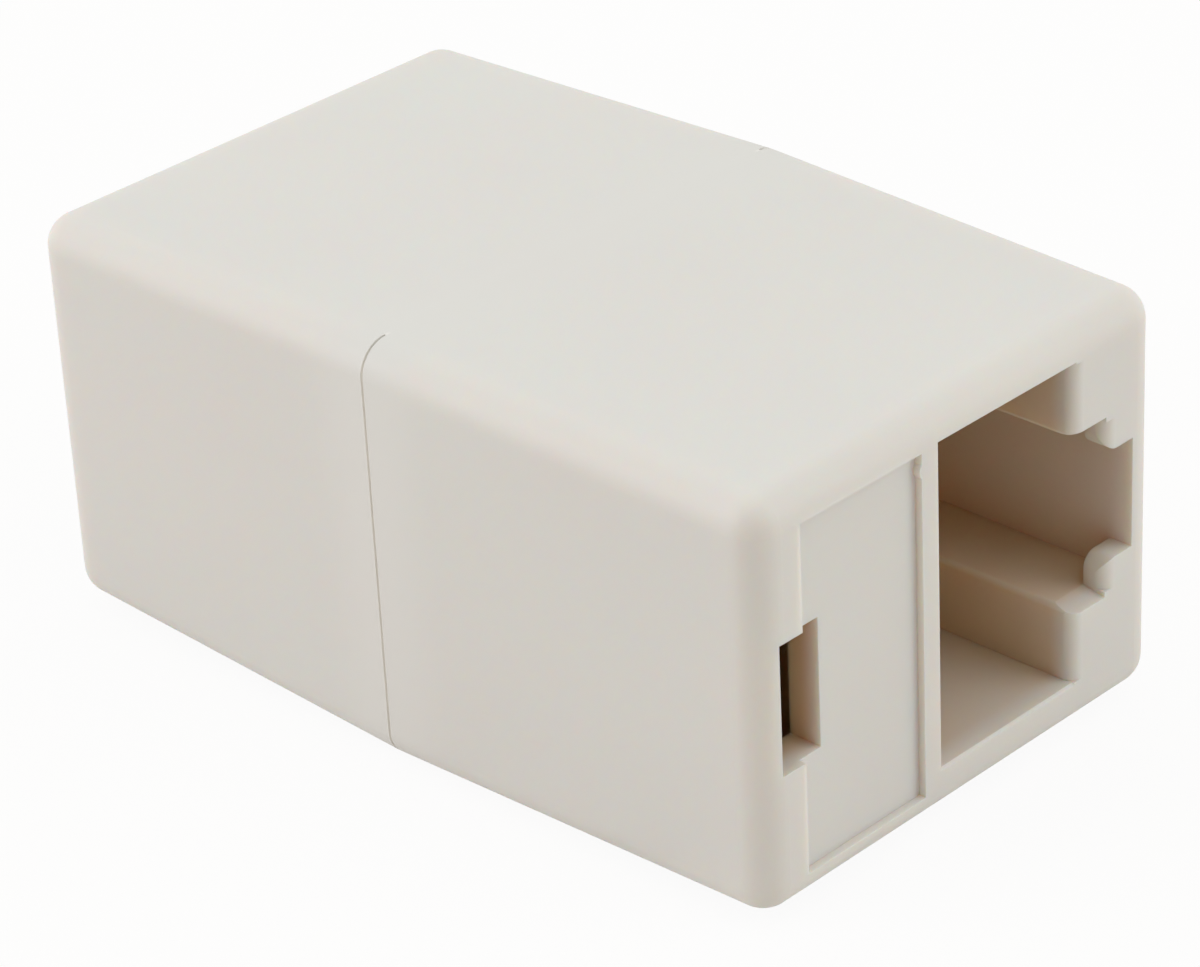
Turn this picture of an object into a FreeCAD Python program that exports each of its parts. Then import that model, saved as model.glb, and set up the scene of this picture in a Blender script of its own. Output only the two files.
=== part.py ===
import FreeCAD, Part
import math
import os

# In-line coupler for two eight-contact modular plugs, one jack mouth at each end.
#
# Frame: millimetres, +Z up, +Y along the coupler, origin under the middle of the seam.
# The front jack opens at -Y.  The jack cavities lie on their side: their eight contacts
# stand one above the other along Z, and their latch slots open towards the side walls.
# Both shells are one moulding and both contact blocks are another: the rear one of each
# pair is the front one given half a turn about Z.

# ---- outer body ------------------------------------------------------------------
BODY_LENGTH = 33.0        # jack face to jack face
BODY_WIDTH = 20.1         # at the seam, where each shell is largest
BODY_HEIGHT = 15.5        # at the seam
SIDE_DRAFT = 1.0          # degrees that each side wall leans in towards its jack face
TOP_DRAFT = 1.3           # degrees, top and bottom walls
EDGE_RADIUS = 1.15        # rounding of the long edges and of the jack face's rim
SIDE_WALL = 0.95          # side wall at the jack face, where it is thinnest
END_WALL = 1.55           # jack face to side pocket
SEAM_GAP = 0.1            # open line where the two side walls meet
SEAM_GAP_DEPTH = 0.1      # how far the open line reaches into the wall
FIT = 0.05                # clearance round parts that drop into the shells

# ---- jack cavity -----------------------------------------------------------------
JACK_WIDTH = 11.8         # along the row of contacts
JACK_HEIGHT = 6.66        # contact wall to latch shelves
JACK_LIFT = 0.31          # centre of the cavity above the centre of the body
CONTACT_WALL_X = 1.28     # contact wall from the mid plane
MOUTH_BREAK = 0.08        # broken edge round the mouth
LATCH_WIDTH = 6.34        # slot for the plug's latch
LATCH_DEPTH = 3.05        # slot floor beyond the shelves
LATCH_LENGTH = 10.3       # slot from the jack face inwards
LATCH_END_WALL = 1.0      # wall that closes the slot
THROAT_WIDTH = 4.05       # between the nibs that hold the plug's latch
THROAT_START = 1.65       # nibs begin this far beyond the shelves
NIB_THICKNESS = 0.9       # along Y
NIB_ROUND = 0.55          # nib's edge towards the cavity
SHELF_ROUND = 0.45        # upright edges of shelves and nibs at the jack face
SHELF_DROP = 0.18         # how far a shelf falls away in front of the nibs' back
SHELF_EDGE = 0.2          # rounding of the shelves' long edges
SHELF_WALL = 1.0          # wall round the latch slot

# ---- jack face -------------------------------------------------------------------
PANEL_NEAR_X = 2.12       # sunk panel beside the mouth, from the mid plane
PANEL_FAR_X = 7.76
PANEL_DEPTH = 0.28
PANEL_MARGIN = 1.08       # face rim left below the panel
PANEL_TOP_MARGIN = 1.18   # face rim left above the panel
GATE_RADIUS = 0.35        # half-round gate mark on the panel's edge
GATE_STAND = 0.1          # how far the mark stands out of that edge
GATE_DROP = 0.65          # its centre below the panel's top

# ---- snap joint between the shells -----------------------------------------------
WINDOW_NEAR_X = 6.76      # window in the jack face over the catch, from the mid plane
WINDOW_HEIGHT = 4.66
WINDOW_Z = 7.85           # middle of the window
ARM_THICKNESS = 1.05
ARM_WIDTH = 4.0
ARM_REACH = 7.8           # past the seam
HOOK_STAND = 0.65         # hook beyond the arm's outer face
HOOK_LENGTH = 1.5
CATCH_LENGTH = 1.2        # ledge that the hook passes
CATCH_GAP = 0.12          # ledge to arm
LIP_THICKNESS = 0.5       # locating lip round one half of the seam
LIP_HEIGHT = 0.8

# ---- contacts and contact blocks ---------------------------------------------------
CONTACT_COUNT = 8
CONTACT_PITCH = 1.02
CONTACT_WIDTH = 0.46      # along Z
CONTACT_THICKNESS = 0.36
CONTACT_CLEAR = 0.04      # contact to the sides of its groove
BEND_RADIUS = 0.6         # centre line of the bend round the tongue's tip
JOG_RADIUS = 0.7          # centre line of the two bends in the middle
SPRING_ANGLE = 22.0       # degrees that a contact leans off the contact wall
SPRING_END = 0.6          # contact tip behind the block's face
BLOCK_HALF_LENGTH = 5.0   # from the seam to the stop face for the plug
JOG_HALF_LENGTH = 3.5     # the contacts cross from one side to the other over this
TONGUE_FLOOR = 0.51       # tongue between a groove and the cavity
TONGUE_MARGIN = 1.0       # tongue beyond the outer contacts, along Z
TIP_GUARD = 0.35          # ribs in front of the bends
MOUTH_LIP = 1.3           # jack face to tongue
CHANNEL_WALL = 0.9        # shell wall that closes the grooves
COMB_DEPTH = 1.2          # slots that the contact tips move in
COMB_TOP = 4.95           # slots end this far from the contact wall
CORE_DEPTH = 1.9          # coring of the block's thick side
CORE_WALL = 1.2

# ---- derived places ----------------------------------------------------------------
HALF_LENGTH = BODY_LENGTH / 2
FACE_Y = -HALF_LENGTH
FACE_HALF_WIDTH = BODY_WIDTH / 2 - HALF_LENGTH * math.tan(math.radians(SIDE_DRAFT))
FACE_INSET_Z = HALF_LENGTH * math.tan(math.radians(TOP_DRAFT))

JACK_Z = BODY_HEIGHT / 2 + JACK_LIFT
INNER_BOTTOM = JACK_Z - JACK_WIDTH / 2
INNER_TOP = JACK_Z + JACK_WIDTH / 2
SHELF_X = JACK_HEIGHT - CONTACT_WALL_X
LATCH_X = SHELF_X + LATCH_DEPTH
LATCH_END_Y = FACE_Y + LATCH_LENGTH
POCKET_X = FACE_HALF_WIDTH - SIDE_WALL

GROOVE_ROOM = CONTACT_THICKNESS / 2 + CONTACT_CLEAR
GROOVE_WIDTH = CONTACT_WIDTH + 2 * CONTACT_CLEAR
TRACK_X = CONTACT_WALL_X + TONGUE_FLOOR + GROOVE_ROOM
TONGUE_X = TRACK_X + GROOVE_ROOM
TONGUE_Y = FACE_Y + MOUTH_LIP + FIT
BEND_Y = TONGUE_Y + TIP_GUARD + CONTACT_THICKNESS / 2 + BEND_RADIUS
ROW_HALF = (CONTACT_COUNT - 1) * CONTACT_PITCH / 2
TONGUE_HALF = ROW_HALF + TONGUE_MARGIN
CHANNEL_X = TONGUE_X + FIT
BLOCK_X = SHELF_X - 2 * FIT
BLOCK_END_Y = BLOCK_HALF_LENGTH + FIT

ARM_X = WINDOW_NEAR_X + FIT
ARM_OUTER_X = ARM_X + ARM_THICKNESS
HOOK_Y = ARM_REACH - HOOK_LENGTH


def box(x0, x1, y0, y1, z0, z1):
    """Return the upright box between two corners."""
    corner = FreeCAD.Vector(x0, y0, z0)
    return Part.makeBox(x1 - x0, y1 - y0, z1 - z0, corner)


def prism(outline, z0, z1):
    """Extrude a closed outline of (x, y) points from z0 up to z1."""
    points = [FreeCAD.Vector(x, y, z0) for x, y in outline]
    face = Part.Face(Part.makePolygon(points + points[:1]))
    return face.extrude(FreeCAD.Vector(0, 0, z1 - z0))


def edge_round(start, run, inward, radius):
    """Cutter that rounds a square outside edge.

    The edge begins at start and runs along a vector; inward holds the two unit vectors
    that point from the edge into the material.
    """
    first, second = inward
    corners = [start, start + first * radius, start + (first + second) * radius,
               start + second * radius]
    strip = Part.Face(Part.makePolygon(corners + corners[:1])).extrude(run)
    core = Part.makeCylinder(radius, run.Length, corners[2], run)
    return strip.cut(core)


def turned(shape):
    """Return a copy given half a turn about Z: the rear piece of a pair."""
    copy = shape.copy()
    copy.rotate(FreeCAD.Vector(0, 0, 0), FreeCAD.Vector(0, 0, 1), 180)
    return copy


# ---- shell -------------------------------------------------------------------------

def shell_blank():
    """Solid outside of one shell: four drafted walls, rounded everywhere but the seam."""
    blank = Part.makeWedge(-FACE_HALF_WIDTH, FACE_Y, FACE_INSET_Z,
                           0, -BODY_WIDTH / 2,
                           FACE_HALF_WIDTH, 0, BODY_HEIGHT - FACE_INSET_Z,
                           BODY_HEIGHT, BODY_WIDTH / 2)
    edges = [edge for edge in blank.Edges if edge.BoundBox.YMin < FACE_Y / 2]
    return blank.makeFillet(EDGE_RADIUS, edges)


def mouth_cutters():
    """Hollow that takes the plug: cavity, latch slot and the throat between the nibs."""
    cavity = box(-CONTACT_WALL_X, SHELF_X, FACE_Y - 1, 1, INNER_BOTTOM, INNER_TOP)
    slot_z0 = JACK_Z - LATCH_WIDTH / 2
    slot_z1 = JACK_Z + LATCH_WIDTH / 2
    step = box(SHELF_X - 1, SHELF_X + THROAT_START, FACE_Y - 1, LATCH_END_Y, slot_z0, slot_z1)
    behind = box(SHELF_X - 1, LATCH_X, FACE_Y + NIB_THICKNESS, LATCH_END_Y, slot_z0, slot_z1)
    throat_z0 = JACK_Z - THROAT_WIDTH / 2
    throat_z1 = JACK_Z + THROAT_WIDTH / 2
    throat = box(SHELF_X - 1, LATCH_X, FACE_Y - 1, LATCH_END_Y, throat_z0, throat_z1)
    return cavity.fuse([step, behind, throat])


def mouth_flare():
    """Frustum that breaks the square rim of the mouth."""
    return Part.makeWedge(-CONTACT_WALL_X - MOUTH_BREAK, FACE_Y, INNER_BOTTOM - MOUTH_BREAK,
                          INNER_BOTTOM, -CONTACT_WALL_X,
                          SHELF_X + MOUTH_BREAK, FACE_Y + MOUTH_BREAK, INNER_TOP + MOUTH_BREAK,
                          INNER_TOP, SHELF_X)


def lead_ins():
    """Cutters that ease the shelves and nibs on each side of the latch slot."""
    nib_x = SHELF_X + THROAT_START
    across = FreeCAD.Vector(1, 0, 0)
    inwards = FreeCAD.Vector(0, 1, 0)
    cutters = []
    for up, rim_z in ((-1, INNER_BOTTOM), (1, INNER_TOP)):
        away = FreeCAD.Vector(0, 0, up)
        shelf_z = JACK_Z + up * LATCH_WIDTH / 2
        throat_z = JACK_Z + up * THROAT_WIDTH / 2
        shelf_end = FreeCAD.Vector(SHELF_X, FACE_Y, shelf_z)
        cutters.append(edge_round(shelf_end, away * abs(rim_z - shelf_z), (across, inwards),
                                  SHELF_ROUND))
        nib_end = FreeCAD.Vector(nib_x, FACE_Y, throat_z)
        cutters.append(edge_round(nib_end, away * abs(shelf_z - throat_z), (across, inwards),
                                  SHELF_ROUND))
        cutters.append(edge_round(nib_end, inwards * NIB_THICKNESS, (away, across), NIB_ROUND))
        slope = [shelf_end, shelf_end + away * SHELF_DROP, shelf_end + inwards * NIB_THICKNESS]
        ramp = Part.Face(Part.makePolygon(slope + slope[:1]))
        cutters.append(ramp.extrude(across * THROAT_START))
        cutters.append(edge_round(shelf_end, inwards * LATCH_LENGTH, (away, across),
                                  SHELF_EDGE))
    return cutters


def inner_cutters():
    """Hollows that the seam side opens: bays for the insert, side pocket and cores."""
    tongue_z0 = JACK_Z - TONGUE_HALF - FIT
    tongue_z1 = JACK_Z + TONGUE_HALF + FIT
    tongue_bay = box(-CHANNEL_X, 0, FACE_Y + MOUTH_LIP, 1, tongue_z0, tongue_z1)
    block_bay = box(-SHELF_X, SHELF_X, -BLOCK_END_Y, 1, INNER_BOTTOM, INNER_TOP)
    pocket_end = FACE_Y + END_WALL
    side_pocket = box(-POCKET_X, -CHANNEL_X - CHANNEL_WALL, pocket_end, 1,
                      INNER_BOTTOM, INNER_TOP)
    core_x = SHELF_X + SHELF_WALL
    low_core_top = JACK_Z - LATCH_WIDTH / 2 - SHELF_WALL
    high_core_bottom = JACK_Z + LATCH_WIDTH / 2 + SHELF_WALL
    low_core = box(core_x, POCKET_X, pocket_end, 1, INNER_BOTTOM, low_core_top)
    high_core = box(core_x, POCKET_X, pocket_end, 1, high_core_bottom, INNER_TOP)
    root_y = LATCH_END_Y + LATCH_END_WALL
    arm_root = box(SHELF_X - 1, POCKET_X, root_y, 1, low_core_top, high_core_bottom)
    return [tongue_bay, block_bay, side_pocket, low_core, high_core, arm_root]


def face_panel():
    """Shallow sunk panel on the jack face, less the gate mark on its inner edge."""
    bottom = FACE_INSET_Z + PANEL_MARGIN
    top = BODY_HEIGHT - FACE_INSET_Z - PANEL_TOP_MARGIN
    panel = box(-PANEL_FAR_X, -PANEL_NEAR_X, FACE_Y - 1, FACE_Y + PANEL_DEPTH, bottom, top)
    centre_x = -PANEL_NEAR_X + GATE_RADIUS - GATE_STAND
    centre = FreeCAD.Vector(centre_x, FACE_Y - 1, top - GATE_DROP)
    mark = Part.makeCylinder(GATE_RADIUS, 1 + PANEL_DEPTH, centre, FreeCAD.Vector(0, 1, 0))
    return panel.cut(mark)


def snap_window():
    """Window in the jack face through which the mould forms the catch behind it."""
    z0 = WINDOW_Z - WINDOW_HEIGHT / 2
    z1 = WINDOW_Z + WINDOW_HEIGHT / 2
    return box(-POCKET_X, -WINDOW_NEAR_X, FACE_Y - 1, FACE_Y + END_WALL + 1,
               z0, z1)


def snap_catch():
    """Ledge on the side wall that the other shell's hook snaps over."""
    catch_y = -HOOK_Y + FIT
    near_x = -ARM_OUTER_X - CATCH_GAP
    z0 = WINDOW_Z - WINDOW_HEIGHT / 2
    z1 = WINDOW_Z + WINDOW_HEIGHT / 2
    ramp = near_x - (POCKET_X + near_x)
    outline = [(-POCKET_X - 0.3, catch_y), (near_x, catch_y),
               (near_x, catch_y + CATCH_LENGTH / 2), (ramp, catch_y + CATCH_LENGTH),
               (-POCKET_X - 0.3, catch_y + CATCH_LENGTH)]
    return prism(outline, z0, z1)


def snap_arm():
    """Spring arm with a hooked end, rooted on the wall that closes the latch slot."""
    root_y = LATCH_END_Y + LATCH_END_WALL
    hook_x = ARM_OUTER_X + HOOK_STAND
    outline = [(ARM_X, root_y - LATCH_END_WALL / 2), (ARM_OUTER_X, root_y - LATCH_END_WALL / 2),
               (ARM_OUTER_X, HOOK_Y), (hook_x, HOOK_Y), (hook_x, HOOK_Y + HOOK_LENGTH / 3),
               (ARM_OUTER_X, ARM_REACH), (ARM_X, ARM_REACH)]
    return prism(outline, WINDOW_Z - ARM_WIDTH / 2, WINDOW_Z + ARM_WIDTH / 2)


def seam_ring(side, thickness, y0, y1):
    """C-shaped ring round the inner hollow, on one side of the mid plane only."""
    outer = box(0, POCKET_X + thickness, y0, y1, INNER_BOTTOM - thickness,
                INNER_TOP + thickness)
    inner = box(-1, POCKET_X, y0 - 1, y1 + 1, INNER_BOTTOM, INNER_TOP)
    ring = outer.cut(inner)
    if side < 0:
        ring = ring.mirror(FreeCAD.Vector(0, 0, 0), FreeCAD.Vector(1, 0, 0))
    return ring


def seam_relief():
    """Shallow step round both side walls and their rounded edges: the seam's fine line."""
    wide_x = BODY_WIDTH / 2 - SEAM_GAP_DEPTH
    core = box(-wide_x, wide_x, -1, 2, SEAM_GAP_DEPTH, BODY_HEIGHT - SEAM_GAP_DEPTH)
    edges = [edge for edge in core.Edges if edge.BoundBox.YLength > 1]
    core = core.makeFillet(EDGE_RADIUS - SEAM_GAP_DEPTH, edges)
    flat_x = BODY_WIDTH / 2 - EDGE_RADIUS
    closed = box(-flat_x, flat_x, -1, 2, -2, BODY_HEIGHT + 2)
    step = box(-BODY_WIDTH, BODY_WIDTH, -SEAM_GAP / 2, 1, -1, BODY_HEIGHT + 1)
    return step.cut([core, closed])


def make_shell():
    """One moulded half of the coupler, jack face at -Y and seam at y = 0."""
    shell = shell_blank()
    shell = shell.cut([mouth_cutters(), mouth_flare()] + lead_ins() + inner_cutters())
    shell = shell.cut([face_panel(), snap_window(), seam_relief()])
    rebate = seam_ring(-1, LIP_THICKNESS + FIT, -LIP_HEIGHT - FIT, 1)
    shell = shell.cut(rebate)
    lip = seam_ring(1, LIP_THICKNESS, -LIP_HEIGHT, LIP_HEIGHT)
    lip = lip.cut(box(-1, 2 * FIT, -BODY_LENGTH, BODY_LENGTH, -1, BODY_HEIGHT + 1))
    shell = shell.fuse([lip, snap_arm(), snap_catch()])
    return shell.removeSplitter()


# ---- contact block -----------------------------------------------------------------

def jog_offset(distance):
    """Corners of the contacts' jog, moved sideways by a distance towards +X and -Y."""
    across = FreeCAD.Vector(2 * TRACK_X, 2 * JOG_HALF_LENGTH, 0).normalize()
    first = FreeCAD.Vector(1, 0, 0)
    second = FreeCAD.Vector(across.y, -across.x, 0)
    shift = (first + second) * (distance / (1 + first.dot(second)))
    start = (-TRACK_X + shift.x, -JOG_HALF_LENGTH + shift.y)
    end = (TRACK_X + shift.x, JOG_HALF_LENGTH + shift.y)
    return start, end


def block_body():
    """Block that fills the middle on one side of the contacts; its face stops the plug."""
    jog_start, jog_end = jog_offset(0)
    outline = [(-CONTACT_WALL_X, -BLOCK_HALF_LENGTH), (BLOCK_X, -BLOCK_HALF_LENGTH),
               (BLOCK_X, BLOCK_HALF_LENGTH), (TRACK_X, BLOCK_HALF_LENGTH),
               jog_end, jog_start, (-TRACK_X, -BLOCK_HALF_LENGTH)]
    return prism(outline, INNER_BOTTOM + FIT, INNER_TOP - FIT)


def tongue():
    """Tongue under the contact wall that carries the contacts out to the mouth."""
    return box(-TONGUE_X, -CONTACT_WALL_X, TONGUE_Y, -BLOCK_HALF_LENGTH,
               JACK_Z - TONGUE_HALF, JACK_Z + TONGUE_HALF)


def groove(z):
    """Room for one contact: round the tongue's tip, along its back and half the jog."""
    floor_x = -TRACK_X + GROOVE_ROOM
    jog_start, jog_end = jog_offset(GROOVE_ROOM)
    outline = [(-TONGUE_X - 1, TONGUE_Y - 1), (-CONTACT_WALL_X + 1, TONGUE_Y - 1),
               (-CONTACT_WALL_X + 1, BEND_Y), (floor_x, BEND_Y), jog_start, jog_end,
               (jog_end[0], BLOCK_HALF_LENGTH + 1), (-TONGUE_X - 1, BLOCK_HALF_LENGTH + 1)]
    z0 = z - GROOVE_WIDTH / 2
    cutter = prism(outline, z0, z0 + GROOVE_WIDTH)
    tip = FreeCAD.Vector(-CONTACT_WALL_X - TONGUE_FLOOR / 2, BEND_Y, z0)
    return cutter.cut(Part.makeCylinder(TONGUE_FLOOR / 2, GROOVE_WIDTH, tip))


def comb_slot(z):
    """Slot in the stop face that guides the free tip of one contact."""
    z0 = z - GROOVE_WIDTH / 2
    return box(-CONTACT_WALL_X - FIT, -CONTACT_WALL_X + COMB_TOP, -BLOCK_HALF_LENGTH - 1,
               -BLOCK_HALF_LENGTH + COMB_DEPTH, z0, z0 + GROOVE_WIDTH)


def coring():
    """Three pockets that keep the thick side of the block from sinking."""
    inside = INNER_TOP - INNER_BOTTOM - 2 * FIT
    height = (inside - 4 * CORE_WALL) / 3
    pockets = []
    for index in range(3):
        z0 = INNER_BOTTOM + FIT + CORE_WALL + index * (height + CORE_WALL)
        pockets.append(box(BLOCK_X - CORE_DEPTH, BLOCK_X + 1,
                           -BLOCK_HALF_LENGTH + COMB_DEPTH + CORE_WALL,
                           BLOCK_HALF_LENGTH - CORE_WALL, z0, z0 + height))
    return pockets


def make_contact_block():
    """One moulded half of the insert: block, tongue, grooves and comb."""
    block = block_body().fuse(tongue())
    cutters = coring()
    for z in contact_heights():
        cutters.append(groove(z))
        cutters.append(comb_slot(z))
    return block.cut(cutters).removeSplitter()


# ---- contacts ----------------------------------------------------------------------

def contact_heights():
    """Z of each contact, lowest first."""
    return [JACK_Z - ROW_HALF + index * CONTACT_PITCH for index in range(CONTACT_COUNT)]


def spring_route():
    """Points of the front spring from its tip to the start of the straight run."""
    lean = math.radians(SPRING_ANGLE)
    centre_x = -TRACK_X + BEND_RADIUS
    leave_x = centre_x + BEND_RADIUS * math.cos(lean)
    leave_y = BEND_Y - BEND_RADIUS * math.sin(lean)
    tip_y = -BLOCK_HALF_LENGTH + SPRING_END
    tip_x = leave_x + (tip_y - leave_y) * math.tan(lean)
    middle = math.radians(180 + (180 - SPRING_ANGLE) / 2)
    middle_x = centre_x + BEND_RADIUS * math.cos(middle)
    middle_y = BEND_Y + BEND_RADIUS * math.sin(middle)
    return (tip_x, tip_y), (leave_x, leave_y), (middle_x, middle_y), (-TRACK_X, BEND_Y)


def make_contact(z):
    """One flat spring: a leaning contact in each jack, joined by a jog in the middle."""
    def at(point, sign=1):
        return FreeCAD.Vector(sign * point[0], sign * point[1], z)

    tip, leave, middle, start = spring_route()
    slant = math.atan2(2 * TRACK_X, 2 * JOG_HALF_LENGTH)
    trim = JOG_RADIUS * math.tan(slant / 2)
    bend_in = (-TRACK_X, -JOG_HALF_LENGTH - trim)
    bend_out = (-TRACK_X + trim * math.sin(slant), -JOG_HALF_LENGTH + trim * math.cos(slant))
    bend_mid = (-TRACK_X + JOG_RADIUS * (1 - math.cos(slant / 2)),
                bend_in[1] + JOG_RADIUS * math.sin(slant / 2))
    edges = [
        Part.LineSegment(at(tip), at(leave)).toShape(),
        Part.Arc(at(leave), at(middle), at(start)).toShape(),
        Part.LineSegment(at(start), at(bend_in)).toShape(),
        Part.Arc(at(bend_in), at(bend_mid), at(bend_out)).toShape(),
        Part.LineSegment(at(bend_out), at(bend_out, -1)).toShape(),
        Part.Arc(at(bend_out, -1), at(bend_mid, -1), at(bend_in, -1)).toShape(),
        Part.LineSegment(at(bend_in, -1), at(start, -1)).toShape(),
        Part.Arc(at(start, -1), at(middle, -1), at(leave, -1)).toShape(),
        Part.LineSegment(at(leave, -1), at(tip, -1)).toShape(),
    ]
    heading = (at(leave) - at(tip)).normalize()
    side = FreeCAD.Vector(-heading.y, heading.x, 0) * (CONTACT_THICKNESS / 2)
    up = FreeCAD.Vector(0, 0, CONTACT_WIDTH / 2)
    corners = [at(tip) + side + up, at(tip) - side + up, at(tip) - side - up,
               at(tip) + side - up]
    section = Part.Face(Part.makePolygon(corners + corners[:1]))
    return Part.Wire(edges).makePipe(section)


def export(shape, node):
    """Write one node, after checking that it is a single sound solid."""
    if len(shape.Solids) != 1 or not shape.isValid():
        raise ValueError(node + " is not one valid solid")
    shape.Solids[0].exportStep("parts/" + node + ".step")


os.makedirs("parts", exist_ok=True)

front_shell = make_shell()
export(front_shell, "front_shell")
export(turned(front_shell), "rear_shell")

front_block = make_contact_block()
export(front_block, "front_contact_block")
export(turned(front_block), "rear_contact_block")

for number, height in enumerate(contact_heights(), start=1):
    export(make_contact(height), "contact_" + str(number))
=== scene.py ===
import math

import bpy
import numpy as np
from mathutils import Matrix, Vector


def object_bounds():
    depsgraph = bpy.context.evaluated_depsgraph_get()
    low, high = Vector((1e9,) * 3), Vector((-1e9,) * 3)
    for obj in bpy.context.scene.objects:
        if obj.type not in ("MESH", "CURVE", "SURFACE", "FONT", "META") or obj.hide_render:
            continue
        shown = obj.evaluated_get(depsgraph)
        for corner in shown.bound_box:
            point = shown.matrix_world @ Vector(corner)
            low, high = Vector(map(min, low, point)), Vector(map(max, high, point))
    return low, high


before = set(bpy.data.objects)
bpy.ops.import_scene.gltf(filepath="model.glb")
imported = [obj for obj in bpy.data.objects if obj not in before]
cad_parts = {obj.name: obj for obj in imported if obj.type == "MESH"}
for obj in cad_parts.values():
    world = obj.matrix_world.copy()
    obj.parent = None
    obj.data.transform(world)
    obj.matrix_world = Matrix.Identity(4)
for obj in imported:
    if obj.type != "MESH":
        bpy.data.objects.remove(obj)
cad_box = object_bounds()
scene = bpy.context.scene


# ------------------------------------------------------------------ shells
# Two halves of one injection moulding in ivory ABS, snapped together at the middle seam.
# The mould leaves a fine matt grain, and each wall leans in towards its own jack face.
# The plastic lets some light in, so edges glow; deep hollows get painted shade, a warm brown
# laid into the colour.

IVORY = [(0.3, (0.696, 0.680, 0.640)), (0.7, (0.698, 0.694, 0.652))]
# Painted shade: the warm brown laid into the colour deep in the hollows.
PAINTED_HOLLOW_SHADE = (0.665, 0.435, 0.22)
# Painted light: lighter ivory for the seam's open line, on its rounded edges and on the flat
# wall.
SEAM_PAINTED_LIGHT_EDGE = (0.76, 0.745, 0.70)
SEAM_PAINTED_LIGHT_WALL = (0.86, 0.84, 0.79)
SHELL_GRAIN = 0.25
SHELL_WAVE = 0.06
SHELL_ROUGHNESS = (0.46, 0.56)
SHELL_SPECULAR = 0.4
ABS_IOR = 1.52
GLOW = 0.65                         # share of the light that spreads inside the plastic
GLOW_DEPTH = 0.0014
GLOW_REACH = (1.0, 0.55, 0.3)       # share of that depth for red, green and blue light

# Where each mask starts and where it is full, in metres from the seam or the mid plane.
half_width, half_length = cad_box[1][:2]
BEHIND_FACE = (half_length - 0.0003, half_length - 0.0011)
OFF_SEAM = (0.0002, 0.003)
OPEN_LINE = (0.00006, 0.00005)
SIDE = (half_width - 0.00145, half_width - 0.00125)         # wall and its rounded edges
SIDE_WALL = (half_width - 0.00075, half_width - 0.00015)    # flat wall alone

HOLLOW_REACH = 0.009                # how far away a hollow's own walls count
HOLLOW_SKY = (0.97, 0.22)           # share of open sky on a plain face and deep inside
SKY_SAMPLES = 2


def moulded_skin():
    """Skin of a thermoplastic moulding: spark-eroded grain over a slow waviness.

    The waviness is noise at about 4 mm, as cooling leaves on a flat wall, and the grain on
    top of it is noise at about 0.1 mm. Outputs the normal of both together, a slow 0..1
    tone, which is noise at about 11 mm, and the grain itself as a 0..1 speckle.
    """
    tree = bpy.data.node_groups.new("moulded_skin", "ShaderNodeTree")
    for label in ("Grain", "Wave"):
        tree.interface.new_socket(label, in_out="INPUT", socket_type="NodeSocketFloat")
    tree.interface.new_socket("Normal", in_out="OUTPUT", socket_type="NodeSocketVector")
    for label in ("Tone", "Speckle"):
        tree.interface.new_socket(label, in_out="OUTPUT", socket_type="NodeSocketFloat")
    given = tree.nodes.new("NodeGroupInput")
    result = tree.nodes.new("NodeGroupOutput")
    place = tree.nodes.new("ShaderNodeTexCoord")
    noises = {}
    for label, per_metre, octaves, harshness in (("Grain", 9000.0, 3.0, 0.55),
                                                 ("Wave", 240.0, 2.0, 0.5),
                                                 ("Tone", 90.0, 3.0, 0.5)):
        noise = tree.nodes.new("ShaderNodeTexNoise")
        noise.inputs["Scale"].default_value = per_metre
        noise.inputs["Detail"].default_value = octaves
        noise.inputs["Roughness"].default_value = harshness
        tree.links.new(place.outputs["Object"], noise.inputs["Vector"])
        noises[label] = noise.outputs["Fac"]
    reliefs = []
    for label, relief_height in (("Wave", 0.0002), ("Grain", 0.00001)):
        relief = tree.nodes.new("ShaderNodeBump")
        relief.inputs["Distance"].default_value = relief_height
        tree.links.new(given.outputs[label], relief.inputs["Strength"])
        tree.links.new(noises[label], relief.inputs["Height"])
        reliefs.append(relief)
    wave, grain = reliefs
    tree.links.new(wave.outputs["Normal"], grain.inputs["Normal"])
    tree.links.new(grain.outputs["Normal"], result.inputs["Normal"])
    tree.links.new(noises["Tone"], result.inputs["Tone"])
    tree.links.new(noises["Grain"], result.inputs["Speckle"])
    return tree


def new_material(name):
    """Make a plain material; return it with its node tree and shader."""
    material = bpy.data.materials.new(name)
    material.use_nodes = True
    return material, material.node_tree, material.node_tree.nodes["Principled BSDF"]


def lay_skin(tree, grain, wave):
    """Place the moulding's skin in a material, with the strength of its two reliefs."""
    skin = tree.nodes.new("ShaderNodeGroup")
    skin.node_tree = MOULDED_SKIN
    skin.inputs["Grain"].default_value = grain
    skin.inputs["Wave"].default_value = wave
    return skin


def drifting_colour(tree, factor, stops):
    """Colour that goes in straight lines from stop to stop: (factor, colour)."""
    ramp = tree.nodes.new("ShaderNodeValToRGB")
    elements = ramp.color_ramp.elements
    elements.remove(elements[-1])
    for index, (position, colour) in enumerate(stops):
        element = elements[0] if index == 0 else elements.new(position)
        element.position = position
        element.color = (*colour, 1.0)
    tree.links.new(factor, ramp.inputs["Fac"])
    return ramp.outputs["Color"]


def between(tree, factor, ends):
    """Number that goes in a straight line between two ends as the factor goes 0 to 1."""
    line = tree.nodes.new("ShaderNodeMapRange")
    line.inputs["To Min"].default_value, line.inputs["To Max"].default_value = ends
    tree.links.new(factor, line.inputs["Value"])
    return line.outputs["Result"]


def eased(tree, value, limits):
    """Mask that is 0 at the first limit and before it, and 1 at the second and past it.

    Between them it is three times the square of the share of the way, less twice its cube.
    """
    step = tree.nodes.new("ShaderNodeMapRange")
    step.interpolation_type = "SMOOTHSTEP"
    step.inputs["From Min"].default_value, step.inputs["From Max"].default_value = limits
    tree.links.new(value, step.inputs["Value"])
    return step.outputs["Result"]


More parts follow.
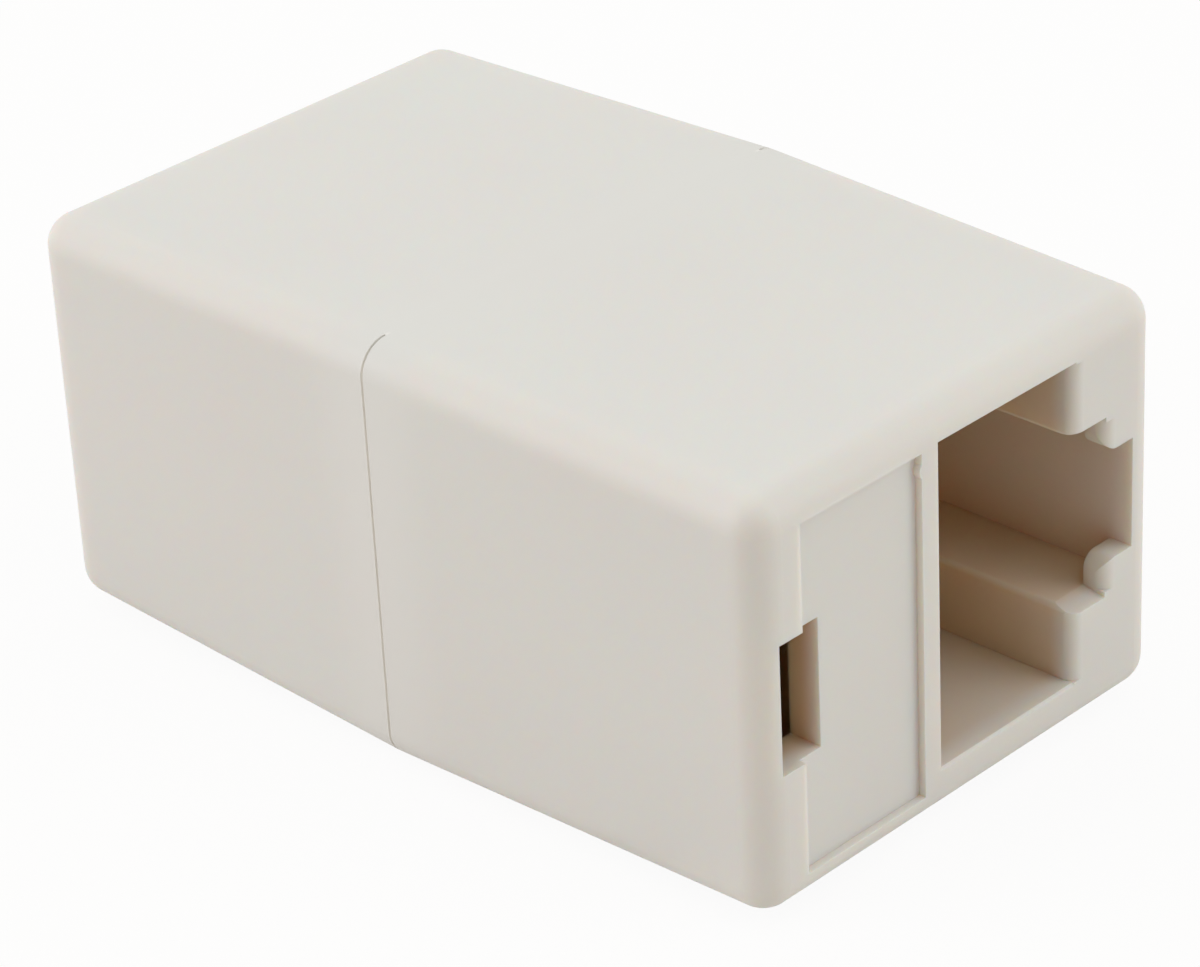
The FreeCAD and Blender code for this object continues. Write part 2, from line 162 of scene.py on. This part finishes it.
def unsigned(tree, value):
    """A number without its sign, so that both halves are treated alike."""
    node = tree.nodes.new("ShaderNodeMath")
    node.operation = "ABSOLUTE"
    tree.links.new(value, node.inputs[0])
    return node.outputs[0]


def product(tree, first, second):
    """First output times the second one, which may be a plain number."""
    node = tree.nodes.new("ShaderNodeMath")
    node.operation = "MULTIPLY"
    tree.links.new(first, node.inputs[0])
    if isinstance(second, float):
        node.inputs[1].default_value = second
    else:
        tree.links.new(second, node.inputs[1])
    return node.outputs[0]


def tinted(tree, colour, towards, mask):
    """Colour mixed in a straight line towards a fixed one, all the way where the mask is 1."""
    mix = tree.nodes.new("ShaderNodeMix")
    mix.data_type = "RGBA"
    first, second = [socket for socket in mix.inputs if socket.type == "RGBA"]
    second.default_value = (*towards, 1.0)
    tree.links.new(colour, first)
    tree.links.new(mask, mix.inputs["Factor"])
    return next(socket for socket in mix.outputs if socket.type == "RGBA")


def dress(material, *names):
    """Put one material on solids of the frame."""
    for name in names:
        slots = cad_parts[name].data.materials
        slots.clear()
        slots.append(material)


MOULDED_SKIN = moulded_skin()

ivory_abs, tree, shader = new_material("ivory_abs")
skin = lay_skin(tree, SHELL_GRAIN, SHELL_WAVE)
place = tree.nodes.new("ShaderNodeTexCoord")
split = tree.nodes.new("ShaderNodeSeparateXYZ")
tree.links.new(place.outputs["Object"], split.inputs["Vector"])
along = unsigned(tree, split.outputs["Y"])
sideways = unsigned(tree, split.outputs["X"])

# A place is deep in a hollow where the shell's own walls leave it little open sky; there the
# colour is browned as painted shade.
sky = tree.nodes.new("ShaderNodeAmbientOcclusion")
sky.samples = SKY_SAMPLES
sky.only_local = True
sky.inputs["Distance"].default_value = HOLLOW_REACH
painted_shade = product(tree, eased(tree, along, BEHIND_FACE),
                 eased(tree, sky.outputs["AO"], HOLLOW_SKY))

# Painted light: the seam's open line is given a lighter ivory, to brighten the shade that its
# step casts.
line = eased(tree, along, OPEN_LINE)
painted_seam_light_edge = product(tree, line, eased(tree, sideways, SIDE))
painted_seam_light_wall = product(tree, line, eased(tree, sideways, SIDE_WALL))

ivory = drifting_colour(tree, skin.outputs["Tone"], IVORY)
ivory = tinted(tree, ivory, PAINTED_HOLLOW_SHADE, painted_shade)
ivory = tinted(tree, ivory, SEAM_PAINTED_LIGHT_EDGE, painted_seam_light_edge)
ivory = tinted(tree, ivory, SEAM_PAINTED_LIGHT_WALL, painted_seam_light_wall)
tree.links.new(ivory, shader.inputs["Base Color"])
roughness = between(tree, skin.outputs["Speckle"], SHELL_ROUGHNESS)
tree.links.new(roughness, shader.inputs["Roughness"])
tree.links.new(skin.outputs["Normal"], shader.inputs["Normal"])
shader.inputs["IOR"].default_value = ABS_IOR
shader.inputs["Specular IOR Level"].default_value = SHELL_SPECULAR

# The glow fades out towards the seam, where it would leak out of the step's edges.
glow = product(tree, eased(tree, along, OFF_SEAM), GLOW)
tree.links.new(glow, shader.inputs["Subsurface Weight"])
shader.inputs["Subsurface Radius"].default_value = GLOW_REACH
shader.inputs["Subsurface Scale"].default_value = GLOW_DEPTH
dress(ivory_abs, "front_shell", "rear_shell")


# ------------------------------------------------------------------ contact blocks
# Two halves of the insert, moulded in a harder natural-coloured thermoplastic. They are
# pushed in from the seam and clamp the contacts between them.

NATURAL = [(0.3, (0.52, 0.46, 0.36)), (0.7, (0.56, 0.50, 0.40))]
BLOCK_GRAIN = 0.15
BLOCK_WAVE = 0.04
BLOCK_ROUGHNESS = 0.42
BLOCK_GLOW = 0.1
BLOCK_GLOW_DEPTH = 0.0005
BLOCK_GLOW_REACH = (1.0, 0.8, 0.5)

natural_pbt, tree, shader = new_material("natural_pbt")
skin = lay_skin(tree, BLOCK_GRAIN, BLOCK_WAVE)
natural = drifting_colour(tree, skin.outputs["Tone"], NATURAL)
tree.links.new(natural, shader.inputs["Base Color"])
tree.links.new(skin.outputs["Normal"], shader.inputs["Normal"])
shader.inputs["Roughness"].default_value = BLOCK_ROUGHNESS
shader.inputs["Subsurface Weight"].default_value = BLOCK_GLOW
shader.inputs["Subsurface Radius"].default_value = BLOCK_GLOW_REACH
shader.inputs["Subsurface Scale"].default_value = BLOCK_GLOW_DEPTH
dress(natural_pbt, "front_contact_block", "rear_contact_block")


# ------------------------------------------------------------------ contacts
# Flat springs of phosphor bronze strip, gold plated over nickel and bent to shape. Each
# lies in its groove and leans into both jacks, its tips free in the comb.

GOLD = [(0.35, (0.72, 0.46, 0.14)), (0.65, (0.86, 0.60, 0.22))]
GOLD_ROUGHNESS = (0.18, 0.34)
ROLLED_PER_METRE = 2600.0           # marks that rolling left, drawn out along the strip
ROLLED_OCTAVES = 2.0
ROLLED_SQUEEZE = (1.0, 0.08, 1.0)
CONTACT_COUNT = 8

gold_plated_strip, tree, shader = new_material("gold_plated_strip")
place = tree.nodes.new("ShaderNodeTexCoord")
stretch = tree.nodes.new("ShaderNodeMapping")
stretch.inputs["Scale"].default_value = ROLLED_SQUEEZE
tree.links.new(place.outputs["Object"], stretch.inputs["Vector"])
rolled = tree.nodes.new("ShaderNodeTexNoise")
rolled.inputs["Scale"].default_value = ROLLED_PER_METRE
rolled.inputs["Detail"].default_value = ROLLED_OCTAVES
tree.links.new(stretch.outputs["Vector"], rolled.inputs["Vector"])
gold = drifting_colour(tree, rolled.outputs["Fac"], GOLD)
tree.links.new(gold, shader.inputs["Base Color"])
roughness = between(tree, rolled.outputs["Fac"], GOLD_ROUGHNESS)
tree.links.new(roughness, shader.inputs["Roughness"])
shader.inputs["Metallic"].default_value = 1.0
dress(gold_plated_strip, *["contact_%d" % number for number in range(1, CONTACT_COUNT + 1)])


# ------------------------------------------------------------------ floor
# Plain white ground, large enough to fill every view. To the camera and in gloss most of
# it is plain white, so only a trace of the coupler's soft shadow shows.

FLOOR_REACH = 3.0
GROUND = (0.78, 0.745, 0.69)
GROUND_ROUGHNESS = 0.9
GROUND_SPECULAR = 0.1
PLAIN_SHARE = 0.93

floor_mesh = bpy.data.meshes.new("floor")
corners = np.array([(-1, -1, 0), (1, -1, 0), (1, 1, 0), (-1, 1, 0)]) * FLOOR_REACH
floor_mesh.from_pydata(corners.tolist(), [], [(0, 1, 2, 3)])
floor = bpy.data.objects.new("floor", floor_mesh)
scene.collection.objects.link(floor)


def larger(tree, first, second):
    """The larger of two outputs."""
    node = tree.nodes.new("ShaderNodeMath")
    node.operation = "MAXIMUM"
    tree.links.new(first, node.inputs[0])
    tree.links.new(second, node.inputs[1])
    return node.outputs[0]


white_ground, tree, shader = new_material("white_ground")
shader.inputs["Base Color"].default_value = (*GROUND, 1.0)
shader.inputs["Roughness"].default_value = GROUND_ROUGHNESS
shader.inputs["Specular IOR Level"].default_value = GROUND_SPECULAR
white = tree.nodes.new("ShaderNodeEmission")
path = tree.nodes.new("ShaderNodeLightPath")
seen = larger(tree, path.outputs["Is Camera Ray"], path.outputs["Is Glossy Ray"])
mix = tree.nodes.new("ShaderNodeMixShader")
tree.links.new(product(tree, seen, PLAIN_SHARE), mix.inputs["Fac"])
tree.links.new(shader.outputs["BSDF"], mix.inputs[1])
tree.links.new(white.outputs["Emission"], mix.inputs[2])
tree.links.new(mix.outputs["Shader"], tree.nodes["Material Output"].inputs["Surface"])
floor_mesh.materials.append(white_ground)


# ------------------------------------------------------------------ light
# A light tent: an even dome, a little brighter overhead and dimmer at the opening that
# faces the near corner, and three weak broad lamps that give the top, the long side and
# the jack face their own tones. Seen directly, the tent is plain white.

DOME_LEVEL = (0.75, 0.85)           # at the ground and overhead
OPENING_WAY = (-0.69, -0.69, 0.22)  # direction of the opening
OPENING_EDGE = (0.55, 0.95)         # cosines of the angle where it starts and is full
OPENING_LEVEL = (1.0, 0.35)         # outside the opening and in it
TENT_COLOUR = (1.0, 1.0, 1.0, 1.0)
# name, place, width of its square panel, power in watts, colour
LAMPS = [("overhead", (-0.02, 0.02, 0.50), 0.50, 0.36, (0.92, 1.0, 0.89)),
         ("side", (-0.42, 0.28, 0.22), 0.40, 1.0, (1.0, 0.94, 1.0)),
         ("front", (0.28, -0.42, 0.20), 0.40, 0.75, (1.0, 0.96, 0.98))]
LAMP_AIM = Vector((0.0, 0.0, cad_box[1][2] / 2))    # the middle of the part

tent = bpy.data.worlds.new("tent")
tent.use_nodes = True
tree = tent.node_tree
direction = tree.nodes.new("ShaderNodeTexCoord").outputs["Generated"]
split = tree.nodes.new("ShaderNodeSeparateXYZ")
tree.links.new(direction, split.inputs["Vector"])
towards = tree.nodes.new("ShaderNodeVectorMath")
towards.operation = "DOT_PRODUCT"
towards.inputs[1].default_value = OPENING_WAY
tree.links.new(direction, towards.inputs[0])
opening = eased(tree, towards.outputs["Value"], OPENING_EDGE)
level = product(tree, between(tree, split.outputs["Z"], DOME_LEVEL),
                between(tree, opening, OPENING_LEVEL))
path = tree.nodes.new("ShaderNodeLightPath")
shown = larger(tree, level, path.outputs["Is Camera Ray"])
tree.links.new(shown, tree.nodes["Background"].inputs["Strength"])
tree.nodes["Background"].inputs["Color"].default_value = TENT_COLOUR
scene.world = tent

for name, lamp_place, width, power, colour in LAMPS:
    panel = bpy.data.lights.new(name, "AREA")
    panel.shape = "SQUARE"
    panel.size = width
    panel.energy = power
    panel.color = colour
    lamp = bpy.data.objects.new(name, panel)
    lamp.location = lamp_place
    lamp.rotation_euler = (LAMP_AIM - lamp.location).to_track_quat("-Z", "Y").to_euler()
    scene.collection.objects.link(lamp)


# ------------------------------------------------------------------ camera
# Long lens, looking down on the near corner between the long side and the front jack,
# and rolled a little to one side.

CAMERA_PLACE = (-0.09453, -0.09523, 0.07993)
CAMERA_TURN = (61.199, 2.598, -46.331)      # degrees about X, Y and Z
CAMERA_LENS = 135.16                        # millimetres, as is the sensor's width
CAMERA_SENSOR = 36.0

camera_data = bpy.data.cameras.new("camera")
camera_data.sensor_width = CAMERA_SENSOR
camera_data.lens = CAMERA_LENS
camera = bpy.data.objects.new("camera", camera_data)
camera.location = CAMERA_PLACE
camera.rotation_euler = [math.radians(angle) for angle in CAMERA_TURN]
scene.collection.objects.link(camera)
scene.camera = camera

scene.view_settings.view_transform = "Standard"
